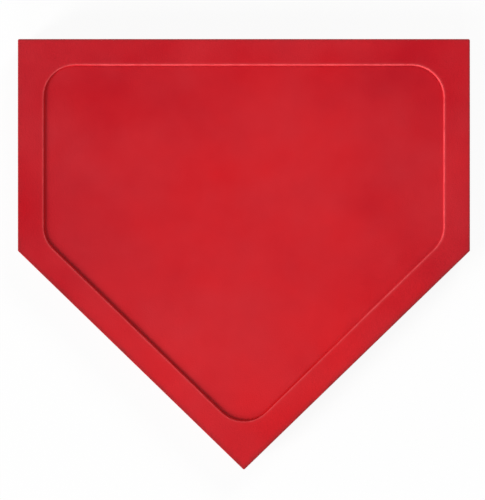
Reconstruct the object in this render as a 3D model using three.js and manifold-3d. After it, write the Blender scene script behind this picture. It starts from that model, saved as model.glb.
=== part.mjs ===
// Home plate: a moulded rubber cover over a plywood core, closed from below by a waffle tread pad.
// The cover's turned-in lip is clamped between the pad and the core by screws up into the core.
// Millimetres, +Z up. The origin is on the ground, at the centre of the outline's box.
// +X runs across the plate and +Y towards the flat front edge, so the point is at -Y.

import * as THREE from 'three';
import { mergeGeometries, mergeVertices } from 'three/addons/utils/BufferGeometryUtils.js';
import Module from 'manifold-3d';

// Outline
const PLATE_WIDTH = 431.8; // front edge, and the greatest width
const SIDE_LENGTH = 202.3; // each straight side, from the front edge to the side corner
const POINT_DEPTH = 209.3; // from the side corners back to the point, as if it were sharp
const TOP_CORNER_RADIUS = 0.7; // corners of the flat top, inside its rounded edge
const EDGE_ROUND = 0.8; // rounding of the cover's top and bottom edges

// Cover
const COVER_TOP = 4.5; // rubber above the core, at the border
const SKIRT_WALL = 5.0;
const LIP_THICKNESS = 2.5;
const LIP_REACH = 14.0; // how far the lip turns in under the core
const CAVITY_CORNER_RADIUS = 4.0;
const OPENING_CORNER_RADIUS = 8.0;

// Sunk centre panel
const BORDER_WIDTH = 24.5; // outer edge to the top of the panel's wall
const RECESS_DEPTH = 1.6;
const RECESS_WALL_RUN = 0.9; // how far the sloped wall leans in
const RECESS_CORNER_RADIUS = 30.0; // at the foot of the wall

// Core
const CORE_THICKNESS = 15.0;

// Tread pad
const PAD_FLANGE = 2.5; // thickness of the flange under the cover's lip
const PAD_SETBACK = 2.0; // the flange stops this far inside the skirt
const PAD_CORNER_RADIUS = 3.0;
const POCKET_PITCH = 24.0;
const POCKET_SIDE = 18.0;
const POCKET_WEB = 2.3; // rubber left above a pocket
const POCKET_MARGIN = 4.0; // least rubber between a pocket and the edge of the pad's raised middle

// Screws and washers
const SCREW_PITCH = 95.0; // about the distance between screws along an edge
const SHANK_DIAMETER = 4.2;
const SCREW_GRIP = 11.0; // length of screw inside the core
const TIP_LENGTH = 4.0;
const HEAD_DIAMETER = 8.2;
const HEAD_HEIGHT = 1.6;
const HEAD_RIM_HEIGHT = 0.7; // straight rim of the head, next to the washer
const HEAD_CROWN_DIAMETER = 5.6; // flat end of the dome
const DRIVE_LENGTH = 4.4; // arms of the cross recess
const DRIVE_WIDTH = 1.1;
const DRIVE_DEPTH = 0.9;
const WASHER_DIAMETER = 12.0;
const WASHER_THICKNESS = 0.8;
const SEAT_WEB = 1.2; // rubber between a washer and the core
const SEAT_MARGIN = 3.0; // rubber left round a screw's counterbore

// Clearances
const FIT_GAP = 0.3; // between neighbouring pieces
const SEAT_CLEARANCE = 0.6; // round a washer, in its counterbore
const TIP_CLEARANCE = 0.6; // beyond a screw's tip, in its pilot hole

// Facets of round shapes
const CORNER_STEPS = 4;
const EDGE_STEPS = 2;
const ROUND_SIDES = 14;
const CUT_OVERRUN = 1.0; // how far a cutting shape runs past the face it opens
const WELD = 1e-4;

// Heights, from the ground up
const coverFoot = PAD_FLANGE + FIT_GAP;
const lipTop = coverFoot + LIP_THICKNESS;
const padTop = lipTop;
const coreBottom = lipTop + FIT_GAP;
const coreTop = coreBottom + CORE_THICKNESS;
const coverCeiling = coreTop + FIT_GAP;
const plateTop = coverCeiling + COVER_TOP;
const pocketCeiling = padTop - POCKET_WEB;
const seatCeiling = padTop - SEAT_WEB;
const washerTop = seatCeiling - FIT_GAP;
const headTop = washerTop - WASHER_THICKNESS - FIT_GAP;
const headBottom = headTop - HEAD_HEIGHT;
const screwTip = coreBottom + SCREW_GRIP;

// Radii, and distances in from the outer edge
const outerCornerRadius = TOP_CORNER_RADIUS + EDGE_ROUND;
const openingInset = SKIRT_WALL + LIP_REACH;
const padMiddleInset = openingInset + FIT_GAP;
const seatRadius = WASHER_DIAMETER / 2 + SEAT_CLEARANCE;
const screwInset = padMiddleInset + SEAT_MARGIN + seatRadius;
const screwHoleRadius = SHANK_DIAMETER / 2 + FIT_GAP;

const wasm = await Module();
wasm.setup();

// A closed solid from a geometry, with shared vertices welded and collapsed triangles dropped.
function toSolid(geometry) {
  const bare = geometry.clone();
  bare.deleteAttribute('normal');
  bare.deleteAttribute('uv');
  const welded = mergeVertices(bare, WELD);
  const corners = welded.index.array;
  const triangles = [];
  for (let i = 0; i < corners.length; i += 3) {
    const [a, b, c] = corners.subarray(i, i + 3);
    if (a !== b && b !== c && c !== a) triangles.push(a, b, c);
  }
  return new wasm.Manifold(new wasm.Mesh({
    numProp: 3,
    vertProperties: new Float32Array(welded.attributes.position.array),
    triVerts: new Uint32Array(triangles),
  }));
}

function toGeometry(solid) {
  const { vertProperties, triVerts } = solid.getMesh();
  const geometry = new THREE.BufferGeometry();
  geometry.setAttribute('position', new THREE.BufferAttribute(vertProperties, 3));
  geometry.setIndex(new THREE.BufferAttribute(triVerts, 1));
  geometry.computeVertexNormals();
  return geometry;
}

// The five sharp corners of the plate, anticlockwise from above.
// Rounding the point shortens the plate a little, and the rounded plate is centred on the origin.
function plateCorners() {
  const halfWidth = PLATE_WIDTH / 2;
  const slantLength = Math.hypot(halfWidth, POINT_DEPTH);
  const pointLoss = outerCornerRadius * (slantLength / halfWidth - 1);
  const front = (SIDE_LENGTH + POINT_DEPTH - pointLoss) / 2;
  const shoulder = front - SIDE_LENGTH;
  return [
    new THREE.Vector2(halfWidth, front),
    new THREE.Vector2(-halfWidth, front),
    new THREE.Vector2(-halfWidth, shoulder),
    new THREE.Vector2(0, shoulder - POINT_DEPTH),
    new THREE.Vector2(halfWidth, shoulder),
  ];
}

// Each edge of the plate as a corner, its outward direction and that direction's angle.
// Edge k runs from corner k to the next one.
function plateEdges() {
  const corners = plateCorners();
  return corners.map((corner, k) => {
    const along = corners[(k + 1) % corners.length].clone().sub(corner).normalize();
    const outward = new THREE.Vector2(along.y, -along.x);
    return { corner, outward, angle: outward.angle() };
  });
}

// How far a point lies inside the plate's nearest edge.
function depthInside(point) {
  const depths = plateEdges().map(({ corner, outward }) => corner.clone().sub(point).dot(outward));
  return Math.min(...depths);
}

// The plate's corners moved in, so that every edge lies `inset` inside the plate's own.
function insetCorners(inset) {
  const edges = plateEdges();
  return edges.map(({ corner, outward }, k) => {
    const before = edges[(k + edges.length - 1) % edges.length].outward;
    const reach = inset / (1 + before.dot(outward));
    return corner.clone().addScaledVector(before, -reach).addScaledVector(outward, -reach);
  });
}

// The plate's outline moved in by `inset`, with its corners rounded to `radius`.
function plateOutline(inset, radius) {
  const edges = plateEdges();
  const shape = new THREE.Shape();
  insetCorners(inset + radius).forEach((centre, k) => {
    const before = edges[(k + edges.length - 1) % edges.length];
    shape.absarc(centre.x, centre.y, radius, before.angle, edges[k].angle, false);
  });
  return shape;
}

function slab(shape, bottom, top) {
  const options = { depth: top - bottom, bevelEnabled: false, curveSegments: CORNER_STEPS };
  return toSolid(new THREE.ExtrudeGeometry(shape, options).translate(0, 0, bottom));
}

function uprightCylinder(centre, radius, bottom, top) {
  const geometry = new THREE.CylinderGeometry(radius, radius, top - bottom, ROUND_SIDES);
  return geometry.rotateX(Math.PI / 2).translate(centre.x, centre.y, (bottom + top) / 2);
}

// Screws stand at the corners of an inset outline, with more spread evenly along its edges.
function screwPlaces() {
  const corners = insetCorners(screwInset);
  return corners.flatMap((start, k) => {
    const end = corners[(k + 1) % corners.length];
    const spans = Math.max(1, Math.round(start.distanceTo(end) / SCREW_PITCH));
    return Array.from({ length: spans }, (_, step) => start.clone().lerp(end, step / spans));
  });
}

// Pockets fill a square grid whose ribs cross at the origin.
// One is left out where it would come too near the edge of the raised middle or a screw.
function pocketPlaces(screws) {
  const half = POCKET_SIDE / 2;
  const reach = Math.ceil(Math.max(PLATE_WIDTH, SIDE_LENGTH + POINT_DEPTH) / 2 / POCKET_PITCH);
  const places = [];
  for (let column = -reach; column < reach; column += 1) {
    for (let row = -reach; row < reach; row += 1) {
      const place = new THREE.Vector2(column + 0.5, row + 0.5).multiplyScalar(POCKET_PITCH);
      const square = new THREE.Box2(place.clone().subScalar(half), place.clone().addScalar(half));
      const { min, max } = square;
      const corners = [min, max, new THREE.Vector2(min.x, max.y), new THREE.Vector2(max.x, min.y)];
      const inside = corners.every((corner) => depthInside(corner) >= padMiddleInset + POCKET_MARGIN);
      const clear = screws.every((screw) => square.distanceToPoint(screw) >= seatRadius + SEAT_MARGIN);
      if (inside && clear) places.push(place);
    }
  }
  return places;
}

// A pan: rounded block, less the sunk panel, the core's cavity and the opening inside the lip.
function coverGeometry() {
  const block = new THREE.ExtrudeGeometry(plateOutline(0, outerCornerRadius), {
    depth: plateTop - coverFoot - 2 * EDGE_ROUND,
    bevelThickness: EDGE_ROUND,
    bevelSize: EDGE_ROUND,
    bevelOffset: -EDGE_ROUND,
    bevelSegments: EDGE_STEPS,
    curveSegments: CORNER_STEPS,
  }).translate(0, 0, coverFoot + EDGE_ROUND);
  const panelOutline = plateOutline(BORDER_WIDTH + RECESS_WALL_RUN, RECESS_CORNER_RADIUS);
  const panelCut = new THREE.ExtrudeGeometry(panelOutline, {
    depth: CUT_OVERRUN,
    bevelThickness: RECESS_DEPTH,
    bevelSize: RECESS_WALL_RUN,
    bevelSegments: 1,
    curveSegments: CORNER_STEPS,
  }).translate(0, 0, plateTop);
  const cavity = slab(plateOutline(SKIRT_WALL, CAVITY_CORNER_RADIUS), lipTop, coverCeiling);
  const openingOutline = plateOutline(openingInset, OPENING_CORNER_RADIUS);
  const opening = slab(openingOutline, coverFoot - CUT_OVERRUN, coreBottom);
  return toGeometry(toSolid(block).subtract(toSolid(panelCut)).subtract(cavity).subtract(opening));
}

// A board that fills the cover, with a blind pilot hole for each screw.
function coreGeometry(screws) {
  const board = slab(plateOutline(SKIRT_WALL + FIT_GAP, CAVITY_CORNER_RADIUS - FIT_GAP), coreBottom, coreTop);
  const holes = screws.map((screw) => (
    uprightCylinder(screw, screwHoleRadius, coreBottom - CUT_OVERRUN, screwTip + TIP_CLEARANCE)
  ));
  return toGeometry(board.subtract(toSolid(mergeGeometries(holes))));
}

// A flange under the lip and a raised middle that fills the lip's opening up to the core.
// The underside has the waffle pockets, and a counterbore and a through hole for each screw.
function padGeometry(screws) {
  const flange = slab(plateOutline(PAD_SETBACK, PAD_CORNER_RADIUS), 0, PAD_FLANGE);
  const middle = slab(plateOutline(padMiddleInset, OPENING_CORNER_RADIUS - FIT_GAP), 0, padTop);
  const pocketHeight = pocketCeiling + CUT_OVERRUN;
  const pockets = pocketPlaces(screws).map(({ x, y }) => (
    new THREE.BoxGeometry(POCKET_SIDE, POCKET_SIDE, pocketHeight)
      .translate(x, y, pocketCeiling - pocketHeight / 2)
  ));
  const seats = screws.map((screw) => uprightCylinder(screw, seatRadius, -CUT_OVERRUN, seatCeiling));
  const holes = screws.map((screw) => (
    uprightCylinder(screw, screwHoleRadius, -CUT_OVERRUN, padTop + CUT_OVERRUN)
  ));
  return toGeometry(
    flange.add(middle)
      .subtract(toSolid(mergeGeometries([...pockets, ...seats])))
      .subtract(toSolid(mergeGeometries(holes))),
  );
}

function turned(profile) {
  const points = profile.map(([radius, height]) => new THREE.Vector2(radius, height));
  return new THREE.LatheGeometry(points, ROUND_SIDES).rotateX(Math.PI / 2);
}

// A pan head screw, point up, on the Z axis, with a cross recess in its head.
function screwGeometry() {
  const shank = SHANK_DIAMETER / 2;
  const body = turned([
    [0, headBottom],
    [HEAD_CROWN_DIAMETER / 2, headBottom],
    [HEAD_DIAMETER / 2, headTop - HEAD_RIM_HEIGHT],
    [HEAD_DIAMETER / 2, headTop],
    [shank, headTop],
    [shank, screwTip - TIP_LENGTH],
    [0, screwTip],
  ]);
  const driveHeight = DRIVE_DEPTH + CUT_OVERRUN;
  const driveMiddle = headBottom + DRIVE_DEPTH - driveHeight / 2;
  const arm = new THREE.BoxGeometry(DRIVE_LENGTH, DRIVE_WIDTH, driveHeight).translate(0, 0, driveMiddle);
  const crossArm = arm.clone().rotateZ(Math.PI / 2);
  return toGeometry(toSolid(body).subtract(toSolid(arm).add(toSolid(crossArm))));
}

function washerGeometry() {
  const bore = screwHoleRadius;
  const rim = WASHER_DIAMETER / 2;
  const bottom = washerTop - WASHER_THICKNESS;
  return turned([[bore, bottom], [rim, bottom], [rim, washerTop], [bore, washerTop], [bore, bottom]]);
}

const redRubber = new THREE.MeshStandardMaterial({ color: 0xc4222b, roughness: 0.6, metalness: 0 });
const blackRubber = new THREE.MeshStandardMaterial({ color: 0x1d1d1f, roughness: 0.75, metalness: 0 });
const plywood = new THREE.MeshStandardMaterial({ color: 0xc9a878, roughness: 0.8, metalness: 0 });
const zincPlatedSteel = new THREE.MeshStandardMaterial({ color: 0xb4b8ba, roughness: 0.35, metalness: 1 });

const homePlate = new THREE.Group();

function addPiece(name, geometry, material, place = new THREE.Vector2()) {
  const piece = new THREE.Mesh(geometry, material);
  piece.name = name;
  piece.position.set(place.x, place.y, 0);
  homePlate.add(piece);
}

const screws = screwPlaces();
addPiece('rubber_cover', coverGeometry(), redRubber);
addPiece('plywood_core', coreGeometry(screws), plywood);
addPiece('tread_pad', padGeometry(screws), blackRubber);

const screwShape = screwGeometry();
const washerShape = washerGeometry();
screws.forEach((screw, k) => {
  const number = String(k + 1).padStart(2, '0');
  addPiece(`pad_washer_${number}`, washerShape, zincPlatedSteel, screw);
  addPiece(`pad_screw_${number}`, screwShape, zincPlatedSteel, screw);
});

export default homePlate;
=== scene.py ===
"""Looks of a five-sided home plate: moulded red rubber over a plywood core, on a black waffle tread.

Metres, in the part's own frame: +X across the plate, +Y to the straight front edge, +Z up, ground at z = 0.
"""
import math

import bpy
import numpy as np
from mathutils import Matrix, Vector
from mathutils.geometry import delaunay_2d_cdt


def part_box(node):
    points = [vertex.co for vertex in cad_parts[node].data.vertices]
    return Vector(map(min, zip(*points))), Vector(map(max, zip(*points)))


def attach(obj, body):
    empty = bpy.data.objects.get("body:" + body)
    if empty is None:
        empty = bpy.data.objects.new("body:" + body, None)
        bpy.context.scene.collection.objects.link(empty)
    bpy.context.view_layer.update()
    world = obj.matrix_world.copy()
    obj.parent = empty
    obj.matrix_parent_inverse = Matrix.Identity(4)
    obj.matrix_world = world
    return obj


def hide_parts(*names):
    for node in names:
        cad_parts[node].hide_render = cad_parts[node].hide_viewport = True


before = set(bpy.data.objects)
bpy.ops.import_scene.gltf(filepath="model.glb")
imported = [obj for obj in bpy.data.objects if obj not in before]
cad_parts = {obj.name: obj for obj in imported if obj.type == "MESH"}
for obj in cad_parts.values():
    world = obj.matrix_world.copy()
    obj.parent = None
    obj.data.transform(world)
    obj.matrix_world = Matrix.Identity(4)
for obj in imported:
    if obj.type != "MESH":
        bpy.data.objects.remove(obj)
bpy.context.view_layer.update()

MM = 0.001
TOUCH = 1e-9  # points closer than this count as one

# Sizes of the part that its nodes' boxes don't give
SIDE_LENGTH = 202.3 * MM
POINT_DEPTH = 209.3 * MM
OUTER_CORNER = 1.5 * MM
EDGE_ROUND = 0.8 * MM
BORDER_WIDTH = 24.5 * MM
PANEL_DROP = 1.6 * MM
PANEL_WALL_RUN = 0.9 * MM
PANEL_CORNER = 30.0 * MM
SKIRT_WALL = 5.0 * MM
CAVITY_CORNER = 4.0 * MM
LIP_REACH = 14.0 * MM
OPENING_CORNER = 8.0 * MM
PAD_SETBACK = 2.0 * MM
PAD_CORNER = 3.0 * MM
POCKET_PITCH = 24.0 * MM
POCKET_SIDE = 18.0 * MM
POCKET_WEB = 2.3 * MM
SEAT_WEB = 1.2 * MM
SEAT_CLEARANCE = 0.6 * MM
SHANK_RADIUS = 2.1 * MM
HEAD_HEIGHT = 1.6 * MM
TIP_LENGTH = 4.0 * MM
FIT_GAP = 0.3 * MM

# Places from the frame
cover_low, cover_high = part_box("rubber_cover")
core_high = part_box("plywood_core")[1]
pad_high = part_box("tread_pad")[1]
washer_low, washer_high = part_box("pad_washer_01")
SCREW_NUMBERS = [name[-2:] for name in sorted(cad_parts) if name.startswith("pad_screw_")]

# Places that follow from both
PANEL_LEVEL = cover_high.z - PANEL_DROP
WALL_FOOT = BORDER_WIDTH + PANEL_WALL_RUN  # inset of the foot of the panel's wall
OPENING = SKIRT_WALL + LIP_REACH  # inset of the lip's inner edge
HOLE_RADIUS = SHANK_RADIUS + FIT_GAP  # round a screw, in its washer and in the pad

# Outline of the plate: sharp corners, anticlockwise from the front right, and each edge's outward direction
SHOULDER = cover_high.y - SIDE_LENGTH
CORNERS = np.array([
    (cover_high.x, cover_high.y),
    (cover_low.x, cover_high.y),
    (cover_low.x, SHOULDER),
    (0.0, SHOULDER - POINT_DEPTH),
    (cover_high.x, SHOULDER),
])
EDGES = np.roll(CORNERS, -1, axis=0) - CORNERS
OUTWARD = np.stack([EDGES[:, 1], -EDGES[:, 0]], axis=1) / np.linalg.norm(EDGES, axis=1, keepdims=True)
OUTWARD_BEFORE = np.roll(OUTWARD, 1, axis=0)

ARC_POINTS = 10
EDGE_POINTS = 46
FILLET_STEPS = 8


def inset_corners(insets):
    """Corners of the outline moved in: each goes along the sum of its two edges' outward directions."""
    reach = 1 + (OUTWARD_BEFORE * OUTWARD).sum(axis=1, keepdims=True)
    return CORNERS - insets[:, None, None] * (OUTWARD_BEFORE + OUTWARD) / reach


def plate_rings(profile):
    """One ring of points per row of (inset, corner radius, height).

    The ring is the plate's outline moved in by the inset. Each corner is an arc of the radius, round a
    centre that lies inset plus radius inside both edges, and each edge is a straight row between two arcs.
    """
    insets, radii, heights = profile.T
    first = np.arctan2(OUTWARD_BEFORE[:, 1], OUTWARD_BEFORE[:, 0])
    last = np.arctan2(OUTWARD[:, 1], OUTWARD[:, 0])
    share = np.linspace(0, 1, ARC_POINTS)
    angles = first[:, None] + ((last - first) % (2 * np.pi))[:, None] * share
    spokes = np.stack([np.cos(angles), np.sin(angles)], axis=2)
    arcs = inset_corners(insets + radii)[:, :, None] + radii[:, None, None, None] * spokes
    starts = arcs[:, :, -1:]
    ends = np.roll(arcs[:, :, :1], -1, axis=1)
    along = np.linspace(0, 1, EDGE_POINTS + 2)[1:-1, None]
    rows = starts + (ends - starts) * along
    flat = np.concatenate([arcs, rows], axis=2).reshape(len(profile), -1, 2)
    levels = np.broadcast_to(heights[:, None, None], (*flat.shape[:2], 1))
    return np.concatenate([flat, levels], axis=2)


def rounded_profile(knots, leg_steps=6):
    """A section line through knots of (inset, corner radius, height, fillet), as rows for plate_rings.

    Each bend is an arc that touches both legs: its centre lies on the bend's bisector, fillet / sin(half
    angle) from the knot. Along the straight legs, points crowd towards the ends as a cosine does, so that
    smooth shading stays flat between the bends. The corner radius runs evenly from knot to knot.
    """
    knots = np.asarray(knots, float)
    section = knots[:, [0, 2]]
    stops = []
    for k, (inset, radius, height, fillet) in enumerate(knots):
        if fillet == 0:
            stops.append(np.array([(inset, radius, height)]))
            continue
        legs = section[[k - 1, k + 1]] - section[k]
        lengths = np.linalg.norm(legs, axis=1, keepdims=True)
        legs = legs / lengths
        half = np.arccos(np.clip(legs[0] @ legs[1], -1, 1)) / 2
        run = fillet / np.tan(half)
        middle = section[k] + (legs[0] + legs[1]) / (2 * np.cos(half)) * fillet / np.sin(half)
        turn = np.linspace(-1, 1, FILLET_STEPS)[:, None] * (np.pi / 2 - half)
        inward = -(legs[0] + legs[1]) / np.linalg.norm(legs[0] + legs[1])
        across = (legs[1] - legs[0]) / np.linalg.norm(legs[1] - legs[0])
        arc = middle + fillet * (np.cos(turn) * inward + np.sin(turn) * across)
        shares = run / lengths[:, 0]
        radii = radius + (knots[[k - 1, k + 1], 1] - radius) * shares
        stops.append(np.column_stack([arc[:, 0], np.linspace(*radii, FILLET_STEPS), arc[:, 1]]))
    ease = (1 - np.cos(np.linspace(0, np.pi, leg_steps + 1)[1:-1, None])) / 2
    rows = [stops[0]]
    for before, after in zip(stops, stops[1:]):
        rows.append(before[-1] + (after[0] - before[-1]) * ease)
        rows.append(after)
    return np.concatenate(rows)


def strip_faces(rings, points, start=0, closed=False):
    """Quads from each ring of points to the next, and where closed is set, from the last to the first."""
    index = start + np.arange(rings * points).reshape(rings, points)
    if closed:
        index = np.concatenate([index, index[:1]])
    beside = np.roll(index, -1, axis=1)
    quads = np.stack([index[:-1], index[1:], beside[1:], beside[:-1]], axis=2)
    return quads.reshape(-1, 4).tolist()


def fan_faces(ring, pole, outwards):
    """Triangles from one closed ring of indices to a pole."""
    beside = np.roll(ring, -1)
    poles = np.full_like(ring, pole)
    order = [poles, ring, beside] if outwards else [ring, poles, beside]
    return np.stack(order, axis=1).tolist()


def add_piece(name, points, faces, material, attributes=None):
    """A smooth shaded mesh object at the origin, with its place in its points."""
    mesh = bpy.data.meshes.new(name)
    mesh.from_pydata(np.asarray(points).reshape(-1, 3).tolist(), [], faces)
    for label, values in (attributes or {}).items():
        layer = mesh.attributes.new(label, "FLOAT", "POINT")
        layer.data.foreach_set("value", np.asarray(values, np.float32).ravel())
    mesh.shade_smooth()
    mesh.materials.append(material)
    mesh.update()
    piece = bpy.data.objects.new(name, mesh)
    bpy.context.scene.collection.objects.link(piece)
    return piece


def dress(piece, node):
    """The piece stands for a node of the part: it hangs from the root body, and the node's own mesh is
    hidden.
    """
    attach(piece, "root")
    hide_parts(node)


# Materials

# Sockets of the colour form of the Mix node
MIX_FACTOR, MIX_A, MIX_B, MIX_RESULT = 0, 6, 7, 2

# Nearly all values of a noise lie between these
NOISE_LOW, NOISE_HIGH = 0.3, 0.7


def srgb(code):
    """Linear colour of an sRGB hex code."""
    channels = np.array([int(code[k:k + 2], 16) for k in (1, 3, 5)]) / 255
    linear = np.where(channels <= 0.04045, channels / 12.92, ((channels + 0.055) / 1.055) ** 2.4)
    return (*linear, 1.0)


def add_node(tree, kind, inputs=None, **settings):
    """A node with its own settings; inputs maps a socket to a value or to the output that feeds it."""
    made = tree.nodes.new(kind)
    for label, value in settings.items():
        setattr(made, label, value)
    for label, value in (inputs or {}).items():
        if isinstance(value, bpy.types.NodeSocket):
            tree.links.new(value, made.inputs[label])
        else:
            made.inputs[label].default_value = value
    return made


def new_material(name):
    """An empty node material: itself, its tree and its output node."""
    material = bpy.data.materials.new(name)
    material.use_nodes = True
    material.node_tree.nodes.clear()
    return material, material.node_tree, add_node(material.node_tree, "ShaderNodeOutputMaterial")


# Marks that the cover's points carry, each as a share
MARKS = ("rub_highlight", "crease_shade", "dark_rim", "skirt")

# Painted pool of light: the middle of the plate is paler and the rim darker, in a soft ellipse
LIT_POOL_CENTRE = (6 * MM, -124 * MM)
LIT_POOL_REACH = (207 * MM, 435 * MM)
LIT_POOL_CORE = 0.3  # share of the reach at the pool's full paleness
LIT_POOL_TONES = (0.4, -0.18)  # added to the pigment's tone: in the core, beyond the reach
ENDLESS = 1e6  # a reach so long that its direction doesn't count

# Clouds: the shifts choose the part of an endless noise that lies on the plate, about as in the photo
CLOUD_SIZE = 80 * MM
PIGMENT_SHIFT = (-4669 * MM, 1639 * MM, 0)
BLOOM_SHIFT = (-1176 * MM, 5376 * MM, 0)
BLOOM_LOW, BLOOM_HIGH = 0.25, 0.75  # values of the noise where the wax begins and where it is thickest
BLOOM_SHARE = 0.3  # of the red that the thickest wax hides

SCUFF_SIZE = 7 * MM
RUB_HIGHLIGHT_LEAST = 0.5  # share of the rubbed and highlighted line that shows where it is scuffed least
DARK_FOOT_STOP = 1 * MM  # the darkening towards the skirt's foot thins out to none this far below the panel's level
SATIN_DARK, SATIN_PALE = 0.5, 0.42  # roughness of dark and of pale pigment
SKIRT_ROUGHNESS = 0.16  # added on the skirt
GRAIN_SIZE = 0.7 * MM  # about 0.2 mm on the real rubber: drawn larger so that it shows
GRAIN_DEPTH = 0.22 * MM


def moulded_red_rubber():
    """Natural rubber pressed in a blasted steel mould.

    The eye gets a strong, even red with a satin sheen and a fine blasted grain. Faint clouds several
    centimetres wide show where pigment and a thin bloom of wax vary, and a painted pool of light makes the
    middle a little paler and the rim darker. The cover's marks add a rubbed line that is also a painted
    highlight on the lit walls, painted shade along the crease at the back left, darkening towards the
    outline and the skirt's foot, and a skirt painted darker than the top as shade.
    """
    material, tree, output = new_material("moulded_red_rubber")
    place = add_node(tree, "ShaderNodeTexCoord").outputs["Object"]
    height = add_node(tree, "ShaderNodeSeparateXYZ", {"Vector": place}).outputs["Z"]
    mark = {}
    for label in MARKS:
        mark[label] = add_node(tree, "ShaderNodeAttribute", attribute_name=label).outputs["Fac"]
    clouds = []
    for shift in (PIGMENT_SHIFT, BLOOM_SHIFT):
        shifted = add_node(tree, "ShaderNodeMapping", {"Vector": place, "Location": shift})
        cloud = add_node(tree, "ShaderNodeTexNoise", {
            "Vector": shifted.outputs[0], "Scale": 1 / CLOUD_SIZE, "Detail": 3.0, "Roughness": 0.55})
        clouds.append(cloud.outputs["Fac"])
    pigment, wax = clouds
    # Painted pool of light: paler in the middle of the plate, darker towards the rim
    middle = add_node(tree, "ShaderNodeMapping", {
        "Vector": place, "Location": (*LIT_POOL_CENTRE, 0),
        "Scale": (*LIT_POOL_REACH, ENDLESS)}, vector_type="TEXTURE")
    away = add_node(tree, "ShaderNodeVectorMath", {0: middle.outputs[0]}, operation="LENGTH")
    lit_pool = add_node(tree, "ShaderNodeMapRange", {
        "Value": away.outputs["Value"], "From Min": LIT_POOL_CORE, "From Max": 1.0,
        "To Min": LIT_POOL_TONES[0], "To Max": LIT_POOL_TONES[1]}, interpolation_type="SMOOTHSTEP")
    tone = add_node(tree, "ShaderNodeMath", {0: pigment, 1: lit_pool.outputs["Result"]}, operation="ADD")
    red = add_node(tree, "ShaderNodeMix", {
        MIX_FACTOR: tone.outputs[0], MIX_A: srgb("#B50D1D"), MIX_B: srgb("#D81D24")},
        data_type="RGBA")
    film = add_node(tree, "ShaderNodeMapRange", {
        "Value": wax, "From Min": BLOOM_LOW, "From Max": BLOOM_HIGH, "To Max": BLOOM_SHARE})
    scuff = add_node(tree, "ShaderNodeTexNoise", {
        "Vector": place, "Scale": 1 / SCUFF_SIZE, "Detail": 3.0}).outputs["Fac"]
    patch = add_node(tree, "ShaderNodeMapRange", {
        "Value": scuff, "From Min": NOISE_LOW, "From Max": NOISE_HIGH,
        "To Min": RUB_HIGHLIGHT_LEAST, "To Max": 1.0})
    pale = add_node(tree, "ShaderNodeMath", {
        0: mark["rub_highlight"], 1: patch.outputs["Result"]}, operation="MULTIPLY")
    # darker towards the skirt's foot, and along the outline
    low_down = add_node(tree, "ShaderNodeMapRange", {
        "Value": height, "From Min": cover_low.z, "From Max": PANEL_LEVEL - DARK_FOOT_STOP,
        "To Min": 1.0, "To Max": 0.0})
    darker_rim_and_foot = add_node(tree, "ShaderNodeMath", {
        0: low_down.outputs["Result"], 1: mark["dark_rim"]}, operation="MAXIMUM")
    darkening = add_node(tree, "ShaderNodeMath", {0: darker_rim_and_foot.outputs[0], 1: scuff}, operation="MULTIPLY")
    # Each tint lies over those before it
    tints = [
        (film.outputs["Result"], "#C84048"),
        # painted shade: a deeper red along the foot of the panel's wall at the back left, where the wall's
        # shadow falls
        (mark["crease_shade"], "#C8040A"),
        # partly edge wear, partly a painted highlight: a paler red along the panel's edge, running down the
        # lit walls at the front right
        (pale.outputs[0], "#E25357"),
        # painted shade: the skirt is a darker copy of the red, so that the sides stay darker than the top
        (mark["skirt"], "#961219"),
        # darker towards the outline and towards the skirt's foot
        (darkening.outputs[0], "#7C2A2B"),
    ]
    colour = red.outputs[MIX_RESULT]
    for share, code in tints:
        tinted = add_node(tree, "ShaderNodeMix", {
            MIX_FACTOR: share, MIX_A: colour, MIX_B: srgb(code)}, data_type="RGBA")
        colour = tinted.outputs[MIX_RESULT]
    satin = add_node(tree, "ShaderNodeMapRange", {
        "Value": pigment, "From Min": NOISE_LOW, "From Max": NOISE_HIGH,
        "To Min": SATIN_DARK, "To Max": SATIN_PALE})
    gloss = add_node(tree, "ShaderNodeMath", {
        0: mark["skirt"], 1: SKIRT_ROUGHNESS, 2: satin.outputs["Result"]}, operation="MULTIPLY_ADD")
    grain = add_node(tree, "ShaderNodeTexNoise", {
        "Vector": place, "Scale": 1 / GRAIN_SIZE, "Detail": 2.0, "Roughness": 0.6})
    relief = add_node(tree, "ShaderNodeBump", {
        "Strength": 1.0, "Distance": GRAIN_DEPTH, "Height": grain.outputs["Fac"]})
    rubber = add_node(tree, "ShaderNodeBsdfPrincipled", {
        "Base Color": colour, "Roughness": gloss.outputs[0],
        "Normal": relief.outputs["Normal"], "IOR": 1.5})
    tree.links.new(rubber.outputs[0], output.inputs["Surface"])
    return material


TREAD_BLOOM_SIZE = 30 * MM
TREAD_BLOOM_LOW, TREAD_BLOOM_HIGH = 0.35, 0.7  # values of the noise where it is black and where greyest
DUST_SIZE = 3 * MM
DUST_LOW, DUST_HIGH = 0.45, 0.75  # values of the noise where dust begins and where it is thickest
DUST_SHARE = 0.22  # of the black that the thickest dust hides
DUST_TOP = 0.6 * MM  # height above the ground where it ends
TREAD_CLEAN, TREAD_DUSTY = 0.6, 0.8  # roughness
TREAD_GRAIN_SIZE = 1.0 * MM
TREAD_GRAIN_DEPTH = 0.06 * MM


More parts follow.
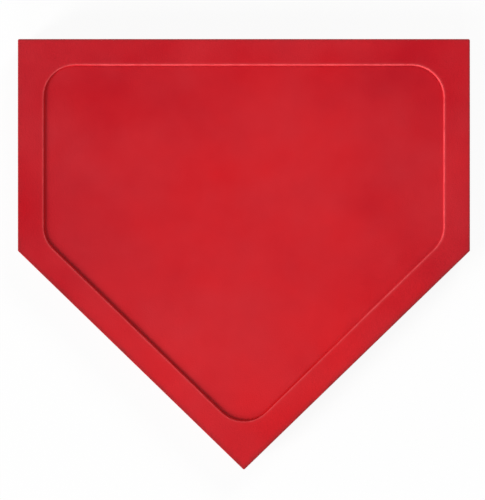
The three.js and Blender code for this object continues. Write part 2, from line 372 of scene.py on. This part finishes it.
def black_tread_rubber():
    """Carbon black rubber from a waffle mould.

    Nearly black and dull, greyer where wax has bloomed, with pale field dust on the ribs' contact faces.
    """
    material, tree, output = new_material("black_tread_rubber")
    place = add_node(tree, "ShaderNodeTexCoord").outputs["Object"]
    height = add_node(tree, "ShaderNodeSeparateXYZ", {"Vector": place}).outputs["Z"]
    bloom = add_node(tree, "ShaderNodeTexNoise", {
        "Vector": place, "Scale": 1 / TREAD_BLOOM_SIZE, "Detail": 4.0, "Roughness": 0.6})
    tone = add_node(tree, "ShaderNodeMapRange", {
        "Value": bloom.outputs["Fac"], "From Min": TREAD_BLOOM_LOW, "From Max": TREAD_BLOOM_HIGH})
    black = add_node(tree, "ShaderNodeMix", {
        MIX_FACTOR: tone.outputs["Result"], MIX_A: srgb("#19191B"), MIX_B: srgb("#2A2A2C")},
        data_type="RGBA")
    contact = add_node(tree, "ShaderNodeMapRange", {
        "Value": height, "From Min": 0.0, "From Max": DUST_TOP, "To Min": 1.0, "To Max": 0.0})
    dust = add_node(tree, "ShaderNodeTexNoise", {
        "Vector": place, "Scale": 1 / DUST_SIZE, "Detail": 6.0, "Roughness": 0.7})
    speck = add_node(tree, "ShaderNodeMapRange", {
        "Value": dust.outputs["Fac"], "From Min": DUST_LOW, "From Max": DUST_HIGH, "To Max": DUST_SHARE})
    dusty = add_node(tree, "ShaderNodeMath", {
        0: contact.outputs["Result"], 1: speck.outputs["Result"]}, operation="MULTIPLY")
    colour = add_node(tree, "ShaderNodeMix", {
        MIX_FACTOR: dusty.outputs[0], MIX_A: black.outputs[MIX_RESULT], MIX_B: srgb("#6E675E")},
        data_type="RGBA")
    gloss = add_node(tree, "ShaderNodeMapRange", {
        "Value": dusty.outputs[0], "From Max": DUST_SHARE, "To Min": TREAD_CLEAN, "To Max": TREAD_DUSTY})
    grain = add_node(tree, "ShaderNodeTexNoise", {
        "Vector": place, "Scale": 1 / TREAD_GRAIN_SIZE, "Detail": 2.0})
    relief = add_node(tree, "ShaderNodeBump", {
        "Strength": 0.35, "Distance": TREAD_GRAIN_DEPTH, "Height": grain.outputs["Fac"]})
    rubber = add_node(tree, "ShaderNodeBsdfPrincipled", {
        "Base Color": colour.outputs[MIX_RESULT], "Roughness": gloss.outputs["Result"],
        "Normal": relief.outputs["Normal"], "IOR": 1.52})
    tree.links.new(rubber.outputs[0], output.inputs["Surface"])
    return material


FILM_SIZE = 3 * MM
FILM_LOW, FILM_HIGH = 0.35, 0.7  # values of the noise where the zinc is coolest and where yellowest
ZINC_BRIGHT, ZINC_CLOUDY = 0.26, 0.42  # roughness


def zinc_plated_steel():
    """Steel with a bright, thin, blue-passivated zinc plating.

    A cool, soft mirror with cloudy gloss and faint yellowish patches.
    """
    material, tree, output = new_material("zinc_plated_steel")
    place = add_node(tree, "ShaderNodeTexCoord").outputs["Object"]
    film = add_node(tree, "ShaderNodeTexNoise", {
        "Vector": place, "Scale": 1 / FILM_SIZE, "Detail": 3.0})
    tint = add_node(tree, "ShaderNodeMapRange", {
        "Value": film.outputs["Fac"], "From Min": FILM_LOW, "From Max": FILM_HIGH})
    colour = add_node(tree, "ShaderNodeMix", {
        MIX_FACTOR: tint.outputs["Result"], MIX_A: srgb("#B6BCC0"), MIX_B: srgb("#C2BFB2")},
        data_type="RGBA")
    gloss = add_node(tree, "ShaderNodeMapRange", {
        "Value": film.outputs["Fac"], "From Min": NOISE_LOW, "From Max": NOISE_HIGH,
        "To Min": ZINC_BRIGHT, "To Max": ZINC_CLOUDY})
    steel = add_node(tree, "ShaderNodeBsdfPrincipled", {
        "Base Color": colour.outputs[MIX_RESULT], "Roughness": gloss.outputs["Result"], "Metallic": 1.0})
    tree.links.new(steel.outputs[0], output.inputs["Surface"])
    return material


PLY_PAIR = 4.3 * MM  # two layers: one of long grain and one of end grain
WAVE_RATE = 20  # radians per metre of the wave node's bands at a scale of 1
STREAK_LENGTH = 60 * MM
STREAK_WIDTH = 2.5 * MM
STREAK_DEPTH = 0.1 * MM


def birch_plywood():
    """Rotary cut birch veneers glued crosswise.

    Pale layers about 2 mm thick that turn from long grain to darker end grain, with fine streaks along X.
    """
    material, tree, output = new_material("birch_plywood")
    place = add_node(tree, "ShaderNodeTexCoord").outputs["Object"]
    plies = add_node(tree, "ShaderNodeTexWave", {
        "Vector": place, "Scale": 2 * math.pi / (WAVE_RATE * PLY_PAIR), "Distortion": 0.4},
        wave_type="BANDS", bands_direction="Z")
    stretch = add_node(tree, "ShaderNodeMapping", {
        "Vector": place, "Scale": (1 / STREAK_LENGTH, 1 / STREAK_WIDTH, 1 / STREAK_WIDTH)})
    streak = add_node(tree, "ShaderNodeTexNoise", {
        "Vector": stretch.outputs[0], "Scale": 1.0, "Detail": 4.0, "Roughness": 0.6})
    grain = add_node(tree, "ShaderNodeMath", {
        0: plies.outputs["Fac"], 1: streak.outputs["Fac"]}, operation="MULTIPLY")
    colour = add_node(tree, "ShaderNodeMix", {
        MIX_FACTOR: grain.outputs[0], MIX_A: srgb("#D6B98A"), MIX_B: srgb("#9C7646")},
        data_type="RGBA")
    relief = add_node(tree, "ShaderNodeBump", {
        "Strength": 0.3, "Distance": STREAK_DEPTH, "Height": streak.outputs["Fac"]})
    wood = add_node(tree, "ShaderNodeBsdfPrincipled", {
        "Base Color": colour.outputs[MIX_RESULT], "Roughness": 0.75, "Normal": relief.outputs["Normal"]})
    tree.links.new(wood.outputs[0], output.inputs["Surface"])
    return material


RED_RUBBER = moulded_red_rubber()
BLACK_RUBBER = black_tread_rubber()
ZINC = zinc_plated_steel()
PLYWOOD = birch_plywood()


# Cover

RIPPLE_SEED = 7
RIPPLE_WAVES = 12
RIPPLE_LENGTHS = (45 * MM, 150 * MM)
RIPPLE_HEIGHT = 0.03 * MM  # of each wave

# Section
SEAM_HEIGHT = 6.5 * MM  # above the foot, where the mould's halves met
SEAM_STEP = 0.3 * MM
WALL_FOOT_FILLET = 0.4 * MM
WALL_TOP_FILLET = 0.6 * MM
SEAM_FILLET = 0.1 * MM
LIP_FILLET = 0.5 * MM
CEILING_FILLET = 1.0 * MM
PANEL_LANDING = 1.5 * MM  # flat run from the wall's foot in to the ring that shrinks to the pole
CEILING_LANDING = 3 * MM  # flat run from the cavity's wall in to the fan that closes the ceiling
EDGE_LANDING = 1.5 * EDGE_ROUND  # inset of the last flat ring before the rounded edge
COVER_LEG_STEPS = 9
PANEL_RINGS = 40
PANEL_CROWDING = 1.5  # power that crowds the panel's rings towards its wall

# Marks
RUB_HIGHLIGHT_SETBACK = 0.2 * MM  # out from the panel's edge to the middle of the rubbed and highlighted line
RUB_HIGHLIGHT_REACH = 0.6 * MM
RUB_HIGHLIGHT_BAND = 2.5 * MM  # finer rings this far out from the panel's edge carry the rubbed and highlighted line
RUB_HIGHLIGHT_POWERS = (8.0, 0.6)  # how fast the line fades down the wall: at the back left, at the front right, where it paints a highlight on the lit wall
# width over which the panel's walls turn from shaded at the back left to lit at the front right
LIT_SIDE_TURN = 50 * MM
# reach of the painted shade at the foot of the shaded walls
CREASE_SHADE_REACH = 0.8 * MM
DARK_RIM_BAND = 6 * MM  # finer rings this far in from the outline carry the darker band
DARK_RIM_REACHES = (2.4 * MM, 3.2 * MM)  # along the front and the sides, along the two slanted edges
DARK_RIM_SHARES = (0.5, 1.05)  # in the same order
DARK_RIM_TURN = 25 * MM
SKIRT_DEPTH = 2 * EDGE_ROUND  # only points this close to the outline belong to the skirt


def ripple(x, y):
    """Height of the rubber's faint unevenness.

    A sum of plane waves of seeded lengths, headings and phases.
    """
    draw = np.random.default_rng(RIPPLE_SEED)
    lengths = draw.uniform(*RIPPLE_LENGTHS, RIPPLE_WAVES)
    headings = draw.uniform(0, 2 * np.pi, RIPPLE_WAVES)
    phases = draw.uniform(0, 2 * np.pi, RIPPLE_WAVES)
    along = x[..., None] * np.cos(headings) + y[..., None] * np.sin(headings)
    return RIPPLE_HEIGHT * np.sin(2 * np.pi * along / lengths + phases).sum(axis=-1)


def between(ends, share):
    """The value at a share of the way from the first end to the last."""
    return ends[0] + (ends[1] - ends[0]) * share


def cover_marks(section, rings):
    """Shares of the marks at each point of the section's rings.

    The rubbed line is greatest at the panel's edge; it is edge wear, and on the lit walls at the front
    right a painted highlight. Out over the border it falls as exp(-distance / reach), and down the wall as
    a power of the height, which is high at the back left and low at the front right. The crease's painted
    shade falls as exp(-distance / reach) from the foot of the wall, at the back left only, where the wall's
    shadow lies. The darker rim falls from the outline as the bell curve exp(-(distance / reach)^2), wider
    and stronger along the slanted edges. Skirt rises from 0 to 1 down the rounded edge.
    """
    inset = section[:, 0, None]
    drop = cover_high.z - section[:, 2, None]
    lift = np.clip((PANEL_DROP - drop) / PANEL_DROP, 0, 1)
    out = np.maximum(BORDER_WIDTH - RUB_HIGHLIGHT_SETBACK - inset, 0)
    # 1 at the front right, where the key lamp lights the panel's walls, 0 at the back left, where they are
    # in shade
    front_right = np.clip(0.5 + (rings[..., 0] + rings[..., 1]) / (2 * LIT_SIDE_TURN), 0, 1)
    slanted = np.clip(0.5 - rings[..., 1] / (2 * DARK_RIM_TURN), 0, 1)
    spread = between(DARK_RIM_REACHES, slanted)
    shares = {
        # the rubbed line, with a painted highlight down the lit walls
        "rub_highlight": np.exp(-out / RUB_HIGHLIGHT_REACH) * lift ** between(RUB_HIGHLIGHT_POWERS, front_right),
        # painted shade at the foot of the shaded walls
        "crease_shade": (1 - front_right) * (1 - lift) * np.exp(-np.abs(inset - WALL_FOOT) / CREASE_SHADE_REACH),
        # darker band along the outline
        "dark_rim": between(DARK_RIM_SHARES, slanted) * np.exp(-(np.hypot(inset, drop) / spread) ** 2),
        "skirt": (inset < SKIRT_DEPTH) * np.clip(drop / EDGE_ROUND, 0, 1),
    }
    return {label: np.broadcast_to(share, rings.shape[:2]) for label, share in shares.items()}


def make_cover():
    """The rubber pan: one section carried round the plate's outline, closed at a pole above and below.

    The section runs from the sunk panel up its wall, over the border and the rounded edge, down the skirt
    with the small step that the mould's halves left, under the lip and back inside along the skirt to the
    ceiling. Inside the panel's wall its first ring shrinks to the pole, by 1 - share^1.5 for even steps of
    the share. A fan of triangles closes the ceiling.
    """
    top = cover_high.z
    foot = cover_low.z
    lip_top = pad_high.z
    ceiling = core_high.z + FIT_GAP
    section = rounded_profile([
        (WALL_FOOT + PANEL_LANDING, PANEL_CORNER - PANEL_LANDING, PANEL_LEVEL, 0),
        (WALL_FOOT, PANEL_CORNER, PANEL_LEVEL, WALL_FOOT_FILLET),
        (BORDER_WIDTH, PANEL_CORNER + PANEL_WALL_RUN, top, WALL_TOP_FILLET),
        (BORDER_WIDTH - RUB_HIGHLIGHT_BAND, PANEL_CORNER + PANEL_WALL_RUN + RUB_HIGHLIGHT_BAND, top, 0),
        (DARK_RIM_BAND, OUTER_CORNER, top, 0),
        (EDGE_LANDING, OUTER_CORNER - EDGE_ROUND, top, 0),
        (0, OUTER_CORNER, top, EDGE_ROUND),
        (0, OUTER_CORNER, foot + SEAM_HEIGHT + SEAM_STEP, SEAM_FILLET),
        (SEAM_STEP, OUTER_CORNER - SEAM_STEP, foot + SEAM_HEIGHT, SEAM_FILLET),
        (SEAM_STEP, OUTER_CORNER - SEAM_STEP, foot, EDGE_ROUND),
        (OPENING, OPENING_CORNER, foot, LIP_FILLET),
        (OPENING, OPENING_CORNER, lip_top, LIP_FILLET),
        (SKIRT_WALL, CAVITY_CORNER, lip_top, LIP_FILLET),
        (SKIRT_WALL, CAVITY_CORNER, ceiling, CEILING_FILLET),
        (SKIRT_WALL + CEILING_LANDING, CAVITY_CORNER, ceiling, 0),
    ], COVER_LEG_STEPS)
    outer = plate_rings(section)
    above = np.array((0.0, 0.0, PANEL_LEVEL))
    shrink = 1 - np.linspace(0, 1, PANEL_RINGS + 1)[1:-1] ** PANEL_CROWDING
    inner = above + (outer[0] - above) * shrink[::-1, None, None]
    rings = np.concatenate([inner, outer])
    count, points = rings.shape[:2]
    on_top = np.arange(count) < len(inner) + np.flatnonzero(section[:, 0] <= TOUCH)[0]
    rings[..., 2] += on_top[:, None] * ripple(rings[..., 0], rings[..., 1])
    poles = np.array([(0, 0, PANEL_LEVEL + ripple(np.zeros(1), np.zeros(1))[0]), (0, 0, ceiling)])
    verts = np.concatenate([rings.reshape(-1, 3), poles])
    faces = strip_faces(count, points)
    faces += fan_faces(np.arange(points), count * points, outwards=True)
    faces += fan_faces(np.arange(points) + (count - 1) * points, count * points + 1, outwards=False)
    marks = {}
    for label, share in cover_marks(section, outer).items():
        marks[label] = np.concatenate([np.zeros(inner.size // 3), share.ravel(), np.zeros(len(poles))])
    piece = add_piece("moulded_cover", verts, faces, RED_RUBBER, marks)
    dress(piece, "rubber_cover")


# Tread pad

ROUND_POINTS = 32
POCKET_CORNER = 2.0 * MM
POCKET_CORNER_POINTS = 4
PAD_LANDING = 2 * MM  # flat run from the rim's bends in to the faces that fill the rest
PAD_FILLET = 0.5 * MM
PAD_FOOT_FILLET = 0.7 * MM
POCKET_TAPER = 0.3 * MM  # how far each side leans in from the mouth to the ceiling
POCKET_LANDING = 0.4 * MM

# Roundings of small sections: from the sharp corner to the arc's ends, and from both legs to its middle
POCKET_MOUTH = (0.5 * MM, 0.15 * MM)
POCKET_FILLET = (0.6 * MM, 0.15 * MM)
SEAT_MOUTH = (0.4 * MM, 0.1 * MM)
SEAT_FILLET = 0.3 * MM  # a plain cut

LEVEL_MATCH = 0.01 * MM  # points closer than this to a height lie on that face
INSIDE_BORDERS = 1  # kind of triangulation that fills only what the borders enclose


def circle_path(reach):
    """Points on circles of the given radii, one row per radius."""
    angles = np.arange(ROUND_POINTS) * 2 * np.pi / ROUND_POINTS
    return reach[:, None, None] * np.stack([np.cos(angles), np.sin(angles)], axis=1)


def square_path(reach):
    """Points on squares of the given half sides, their corners rounded to POCKET_CORNER."""
    turn = np.linspace(0, np.pi / 2, POCKET_CORNER_POINTS)
    angles = np.arange(4)[:, None] * np.pi / 2 + turn
    spokes = np.stack([np.cos(angles), np.sin(angles)], axis=2)
    quarter = (np.arange(4) + 0.5) * np.pi / 2
    signs = np.sign(np.stack([np.cos(quarter), np.sin(quarter)], axis=1))
    centres = (reach - POCKET_CORNER)[:, None, None, None] * signs[:, None]
    return (centres + POCKET_CORNER * spokes).reshape(len(reach), -1, 2)


def hollows(path, profile, places):
    """Rings of a small section, rows of (reach, height), carried round a closed path at each place."""
    flat = path(profile[:, 0])
    levels = np.broadcast_to(profile[:, 1, None, None], (*flat.shape[:2], 1))
    local = np.concatenate([flat, levels], axis=2)
    shift = np.column_stack([places, np.zeros(len(places))])
    return local + shift[:, None, None]


def fill_flat(points, rings, facing_up):
    """Triangles that fill a flat face between its outer ring, the first one, and its holes.

    A constrained triangulation of all the rings' points, without the triangles that lie in a hole: those
    have all their corners on one ring other than the first.
    """
    order = np.concatenate(rings)
    owner = np.repeat(np.arange(len(rings)), [len(ring) for ring in rings])
    starts = np.cumsum([0] + [len(ring) for ring in rings])
    borders = [
        np.stack([np.arange(len(ring)), np.roll(np.arange(len(ring)), -1)], axis=1) + start
        for ring, start in zip(rings, starts)
    ]
    flat = [Vector(point) for point in points[order, :2].tolist()]
    found = delaunay_2d_cdt(flat, np.concatenate(borders).tolist(), [], INSIDE_BORDERS, TOUCH)
    triangles, sources = found[2:4]
    source = np.array([ids[0] for ids in sources])
    corners = source[np.array(triangles)]
    owners = owner[corners]
    in_hole = (owners == owners[:, :1]).all(axis=1) & (owners[:, 0] > 0)
    kept = order[corners[~in_hole]]
    return (kept if facing_up else kept[:, ::-1]).tolist()


def screw_places():
    """Centres of the screws, from the middle of each washer's box."""
    boxes = [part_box("pad_washer_" + number) for number in SCREW_NUMBERS]
    return np.array([((low + high) / 2)[:2] for low, high in boxes])


def pocket_places():
    """Centres of the waffle's pockets: the cells of the grid that hold a corner of a pocket's ceiling."""
    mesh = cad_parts["tread_pad"].data
    points = np.empty(len(mesh.vertices) * 3, np.float32)
    mesh.vertices.foreach_get("co", points)
    points = points.reshape(-1, 3)
    ceiling = np.abs(points[:, 2] - (pad_high.z - POCKET_WEB)) < LEVEL_MATCH
    cells = np.unique(np.floor(points[ceiling, :2] / POCKET_PITCH), axis=0)
    return (cells + 0.5) * POCKET_PITCH


def make_pad():
    """The waffle tread: a rim section carried round the plate, with pockets and screw seats from below.

    Each pocket and each seat is a small section carried round a rounded square or a circle, and flat faces
    fill the rest of the underside and of the middle's top.
    """
    top = pad_high.z
    flange_top = cover_low.z - FIT_GAP
    middle = OPENING + FIT_GAP
    rim = plate_rings(rounded_profile([
        (middle + PAD_LANDING, OPENING_CORNER, top, 0),
        (middle, OPENING_CORNER, top, PAD_FILLET),
        (middle, OPENING_CORNER, flange_top, PAD_FILLET),
        (PAD_SETBACK, PAD_CORNER, flange_top, PAD_FILLET),
        (PAD_SETBACK, PAD_CORNER, 0, PAD_FOOT_FILLET),
        (PAD_SETBACK + PAD_LANDING, PAD_CORNER, 0, 0),
    ]))
    side = POCKET_SIDE / 2
    leaning = side - POCKET_TAPER
    roof = top - POCKET_WEB
    mouth, mouth_bend = POCKET_MOUTH
    fillet, fillet_bend = POCKET_FILLET
    pocket = hollows(square_path, np.array([
        (side + mouth, 0),
        (side + mouth_bend, mouth_bend),
        (side, mouth),
        (leaning, roof - fillet),
        (leaning - fillet_bend, roof - fillet_bend),
        (leaning - fillet, roof),
        (leaning - fillet - POCKET_LANDING, roof),
    ]), pocket_places())
    radius = (washer_high.y - washer_low.y) / 2 + SEAT_CLEARANCE
    seat_roof = top - SEAT_WEB
    mouth, mouth_bend = SEAT_MOUTH
    seat = hollows(circle_path, np.array([
        (radius + mouth, 0),
        (radius + mouth_bend, mouth_bend),
        (radius, mouth),
        (radius, seat_roof - SEAT_FILLET),
        (radius - SEAT_FILLET, seat_roof),
        (HOLE_RADIUS, seat_roof),
        (HOLE_RADIUS, top),
    ]), screw_places())
    parts = [rim[None], pocket, seat]
    points = np.concatenate([part.reshape(-1, 3) for part in parts])
    starts = np.cumsum([0] + [part.size // 3 for part in parts])
    faces = []
    groups = []
    for start, part in zip(starts, parts):
        group = start + np.arange(part.size // 3).reshape(part.shape[:3])
        for copy in group:
            faces += strip_faces(*copy.shape, copy[0, 0])
        groups.append(group)
    rim_ids, pocket_ids, seat_ids = groups
    faces += pocket_ids[:, -1, ::-1].tolist()
    faces += fill_flat(points, [rim_ids[0, -1], *pocket_ids[:, 0], *seat_ids[:, 0]], facing_up=False)
    faces += fill_flat(points, [rim_ids[0, 0], *seat_ids[:, -1]], facing_up=True)
    piece = add_piece("waffle_tread", points, faces, BLACK_RUBBER)
    dress(piece, "tread_pad")


# Screws and washers

HEAD_LAND = 0.3 * MM  # straight rim between the dome's shoulder and the washer
TIP_RADIUS = 0.1 * MM
DRIVE_LENGTH = 4.4 * MM
DRIVE_WIDTH = 1.1 * MM
DRIVE_DEPTH = 0.9 * MM
DRIVE_SPOKES = 7  # directions from the corner of one arm to the corner of the next
# Rings of the drive, from its floor out to the dome: share of the cross's outline, share of its depth
DRIVE_RINGS = np.array([(0.7, 1.0), (0.94, 0.12), (0.98, 0.02), (1.02, 0.0), (1.1, 0.0)])
DOME_SHARES = np.array([0.8, 0.88, 0.93, 0.97, 0.99, 1.0])
DOME_POWER = 6
DOME_LAST = 0.999  # share at which the shoulder ends, short of where it would be upright
NEAR_ZERO = 1e-6  # keeps a division finite
WASHER_CUT = 0.15 * MM


def drive_outline():
    """A cross of two bars, in polar form.

    Directions through its corners, and in each the distance to the edge of the bar that reaches further.
    """
    corner = np.arctan2(DRIVE_WIDTH, DRIVE_LENGTH)
    quarter = np.concatenate([[0.0], np.linspace(corner, np.pi / 2 - corner, DRIVE_SPOKES)])
    angles = (quarter + np.arange(4)[:, None] * np.pi / 2).ravel()
    across = np.maximum(np.abs(np.cos(angles)), NEAR_ZERO)
    upward = np.maximum(np.abs(np.sin(angles)), NEAR_ZERO)
    level = np.minimum(DRIVE_LENGTH / 2 / across, DRIVE_WIDTH / 2 / upward)
    upright = np.minimum(DRIVE_WIDTH / 2 / across, DRIVE_LENGTH / 2 / upward)
    return angles, np.maximum(level, upright)


def make_screw(number, centre):
    """A pan head screw, point up, as one polar grid from the drive's floor to the tip.

    The inner rings are the cross's outline at growing shares, one ring lies halfway to a circle, and the
    rest are circles. The head is flat in the middle and turns over a rounded shoulder, which goes up by
    1 - sqrt(1 - share^6) of the head's height less its land, where share is the point's reach over the
    head's radius. From the rim the section goes in to the shank and up it.
    """
    low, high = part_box("pad_screw_" + number)
    radius = (high.y - low.y) / 2
    head_top = low.z + HEAD_HEIGHT
    angles, cross = drive_outline()
    drive = DRIVE_RINGS[:, :1] * cross
    halfway = (drive[-1:] + DOME_SHARES[0] * radius) / 2
    dome = np.concatenate([drive, halfway, np.outer(DOME_SHARES * radius, np.ones_like(cross))])
    shoulder = 1 - np.sqrt(1 - np.minimum(dome / radius, DOME_LAST) ** DOME_POWER)
    dome_levels = low.z + shoulder * (HEAD_HEIGHT - HEAD_LAND)
    dome_levels[:len(drive)] += DRIVE_RINGS[:, 1:] * DRIVE_DEPTH
    shaft = np.array([
        (radius, head_top),
        (SHANK_RADIUS, head_top),
        (SHANK_RADIUS, high.z - TIP_LENGTH),
        (TIP_RADIUS, high.z),
    ])
    reaches = np.concatenate([dome, np.outer(shaft[:, 0], np.ones_like(cross))])
    levels = np.concatenate([dome_levels, np.outer(shaft[:, 1], np.ones_like(cross))])
    rings = np.stack([
        centre[0] + reaches * np.cos(angles), centre[1] + reaches * np.sin(angles), levels], axis=2)
    count, points = rings.shape[:2]
    poles = np.array([(*centre, low.z + DRIVE_DEPTH), (*centre, high.z)])
    faces = [face[::-1] for face in strip_faces(count, points)]
    faces += fan_faces(np.arange(points), count * points, outwards=False)
    faces += fan_faces(np.arange(points) + (count - 1) * points, count * points + 1, outwards=True)
    piece = add_piece("zinc_screw_" + number, np.concatenate([rings.reshape(-1, 3), poles]), faces, ZINC)
    dress(piece, "pad_screw_" + number)


def make_washer(number, centre):
    """A flat washer: a rectangle with its corners cut, carried round the screw's axis."""
    low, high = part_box("pad_washer_" + number)
    rim = (high.y - low.y) / 2
    section = np.array([
        (HOLE_RADIUS, low.z + WASHER_CUT),
        (HOLE_RADIUS, high.z - WASHER_CUT),
        (HOLE_RADIUS + WASHER_CUT, high.z),
        (rim - WASHER_CUT, high.z),
        (rim, high.z - WASHER_CUT),
        (rim, low.z + WASHER_CUT),
        (rim - WASHER_CUT, low.z),
        (HOLE_RADIUS + WASHER_CUT, low.z),
    ])
    rings = hollows(circle_path, section, centre[None])[0]
    faces = strip_faces(*rings.shape[:2], closed=True)
    piece = add_piece("zinc_washer_" + number, rings, faces, ZINC)
    dress(piece, "pad_washer_" + number)


make_cover()
make_pad()
for screw_number, screw_centre in zip(SCREW_NUMBERS, screw_places()):
    make_screw(screw_number, screw_centre)
    make_washer(screw_number, screw_centre)
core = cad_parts["plywood_core"]
core.data.materials.clear()
core.data.materials.append(PLYWOOD)


# Stage: a pale floor with an opening under the plate, lamps, world and camera

FLOOR_REACH = 25.0
FLOOR_DROP = 0.2 * MM  # clear of the tread's own faces
FLOOR_TUCK = 3 * MM  # from the tread's rim in to the floor's opening
FLOOR_APRON = 0.2  # width of its inner ring, in metres
SHADOW_SHARE = 0.08  # how much of the floor's look near the plate is lit paint, which shows the shadow
SHADOW_REACHES = (0.2, 0.9)  # metres from the plate's middle: all of that share, none of it


def stage_rays(tree):
    """1 for rays that look at the stage: from the camera, from a gloss or through glass."""
    path = add_node(tree, "ShaderNodeLightPath").outputs
    mirror = add_node(tree, "ShaderNodeMath", {
        0: path["Is Camera Ray"], 1: path["Is Glossy Ray"]}, operation="MAXIMUM")
    return add_node(tree, "ShaderNodeMath", {
        0: mirror.outputs[0], 1: path["Is Transmission Ray"]}, operation="MAXIMUM").outputs[0]


def make_floor():
    """A flat ring from just inside the tread's rim out to far away.

    It is white to look at, with the plate's faint shadow, and throws light back like pale grey paint. From
    below it can be looked through, and its opening lets light reach the tread.
    """
    material, tree, output = new_material("pale_floor")
    place = add_node(tree, "ShaderNodeTexCoord").outputs["Object"]
    away = add_node(tree, "ShaderNodeVectorMath", {0: place}, operation="LENGTH")
    glow = add_node(tree, "ShaderNodeMapRange", {
        "Value": away.outputs["Value"], "From Min": SHADOW_REACHES[0], "From Max": SHADOW_REACHES[1],
        "To Min": 1 - SHADOW_SHARE, "To Max": 1.0})
    looking = stage_rays(tree)
    share = add_node(tree, "ShaderNodeMath", {0: looking, 1: glow.outputs["Result"]}, operation="MULTIPLY")
    coat = add_node(tree, "ShaderNodeMix", {
        MIX_FACTOR: looking, MIX_A: srgb("#C8C8C8"), MIX_B: srgb("#F8F8F8")}, data_type="RGBA")
    paint = add_node(tree, "ShaderNodeBsdfDiffuse", {"Color": coat.outputs[MIX_RESULT]})
    white = add_node(tree, "ShaderNodeEmission", {"Color": (1, 1, 1, 1), "Strength": 1.0})
    look = add_node(tree, "ShaderNodeMixShader", {
        0: share.outputs[0], 1: paint.outputs[0], 2: white.outputs[0]})
    clear = add_node(tree, "ShaderNodeBsdfTransparent")
    below = add_node(tree, "ShaderNodeNewGeometry").outputs["Backfacing"]
    seen = add_node(tree, "ShaderNodeLightPath").outputs["Is Camera Ray"]
    through = add_node(tree, "ShaderNodeMath", {0: below, 1: seen}, operation="MULTIPLY")
    sided = add_node(tree, "ShaderNodeMixShader", {
        0: through.outputs[0], 1: look.outputs[0], 2: clear.outputs[0]})
    tree.links.new(sided.outputs[0], output.inputs["Surface"])
    rings = plate_rings(np.array([
        (PAD_SETBACK + FLOOR_TUCK, PAD_CORNER, -FLOOR_DROP),
        (-FLOOR_APRON, FLOOR_APRON, -FLOOR_DROP),
        (-FLOOR_REACH, FLOOR_REACH, -FLOOR_DROP),
    ]))
    floor = add_piece("floor", rings, strip_faces(*rings.shape[:2]), material)


# Each lamp: where the light comes from (degrees round from +X, degrees up), distance and size in metres,
# the share of full light that it gives a level surface at the plate, and whether a gloss mirrors it
LAMPS = {
    "key": {"bearing": 213, "rise": 18, "distance": 8.0, "size": 2.4, "share": 0.53, "glare": False},
    "foot": {"bearing": 272, "rise": 16, "distance": 8.0, "size": 2.4, "share": 0.13, "glare": False},
    "fill": {"bearing": 62, "rise": 32, "distance": 2.5, "size": 0.8, "share": 0.29, "glare": False},
    "under": {"bearing": 300, "rise": -50, "distance": 2.5, "size": 1.2, "share": 0.7, "glare": True},
}


def make_lamps():
    """Softboxes aimed at the plate.

    A lamp's watts follow from its share: pi^2 distance^2 share / |sin(rise)|.
    """
    for name, lamp in LAMPS.items():
        light = bpy.data.lights.new(name, "AREA")
        light.shape = "SQUARE"
        light.size = lamp["size"]
        rise = math.radians(lamp["rise"])
        bearing = math.radians(lamp["bearing"])
        light.energy = math.pi ** 2 * lamp["distance"] ** 2 * lamp["share"] / abs(math.sin(rise))
        level = math.cos(rise)
        towards = Vector((math.cos(bearing) * level, math.sin(bearing) * level, math.sin(rise)))
        holder = bpy.data.objects.new(name, light)
        holder.visible_camera = False
        holder.visible_glossy = lamp["glare"]
        holder.location = towards * lamp["distance"]
        holder.rotation_euler = towards.to_track_quat("Z", "Y").to_euler()
        bpy.context.scene.collection.objects.link(holder)


WORLD_SHARE = 0.05  # of full light, from all round
CEILING_GREY = 0.33
MIRROR_WHITE = -0.4  # rise of a mirrored ray, as a sine, at which the grey has turned white


def make_world():
    """Even fill light. The camera sees white, and a gloss mirrors white below and a grey ceiling above."""
    world = bpy.data.worlds.new("studio")
    bpy.context.scene.world = world
    world.use_nodes = True
    tree = world.node_tree
    tree.nodes.clear()
    ray = add_node(tree, "ShaderNodeTexCoord").outputs["Generated"]
    up = add_node(tree, "ShaderNodeSeparateXYZ", {"Vector": ray}).outputs["Z"]
    dome = add_node(tree, "ShaderNodeMapRange", {
        "Value": up, "From Min": MIRROR_WHITE, "From Max": 0.0, "To Min": 1.0, "To Max": CEILING_GREY})
    seen = add_node(tree, "ShaderNodeLightPath").outputs["Is Camera Ray"]
    shown = add_node(tree, "ShaderNodeMath", {0: dome.outputs["Result"], 1: seen}, operation="MAXIMUM")
    stage = add_node(tree, "ShaderNodeBackground", {"Color": (1, 1, 1, 1), "Strength": shown.outputs[0]})
    fill = add_node(tree, "ShaderNodeBackground", {"Color": (1, 1, 1, 1), "Strength": WORLD_SHARE})
    look = add_node(tree, "ShaderNodeMixShader", {
        0: stage_rays(tree), 1: fill.outputs[0], 2: stage.outputs[0]})
    output = add_node(tree, "ShaderNodeOutputWorld")
    tree.links.new(look.outputs[0], output.inputs["Surface"])


# The picture is 485 by 500 pixels. The plate's width spans 452.3 of them, and its box's centre lies at
# pixel (243.9, 254.2), so the camera stands that far off the plate's centre, straight above.
PICTURE_SIZE = (485, 500)
PLATE_PIXELS = 452.3
PLATE_CENTRE_PIXEL = (243.9, 254.2)
LENS_MM = 100.0
SENSOR_MM = 36.0


def make_camera():
    """A camera straight above, with the front edge at the top of the picture."""
    pixel = (cover_high.x - cover_low.x) / PLATE_PIXELS
    data = bpy.data.cameras.new("camera")
    data.lens = LENS_MM
    data.sensor_width = SENSOR_MM
    camera = bpy.data.objects.new("camera", data)
    camera.location = (
        (PICTURE_SIZE[0] / 2 - PLATE_CENTRE_PIXEL[0]) * pixel,
        (PLATE_CENTRE_PIXEL[1] - PICTURE_SIZE[1] / 2) * pixel,
        cover_high.z + max(PICTURE_SIZE) * pixel * LENS_MM / SENSOR_MM,
    )
    bpy.context.scene.collection.objects.link(camera)
    bpy.context.scene.camera = camera


make_floor()
make_lamps()
make_world()
make_camera()
bpy.context.scene.view_settings.view_transform = "Standard"
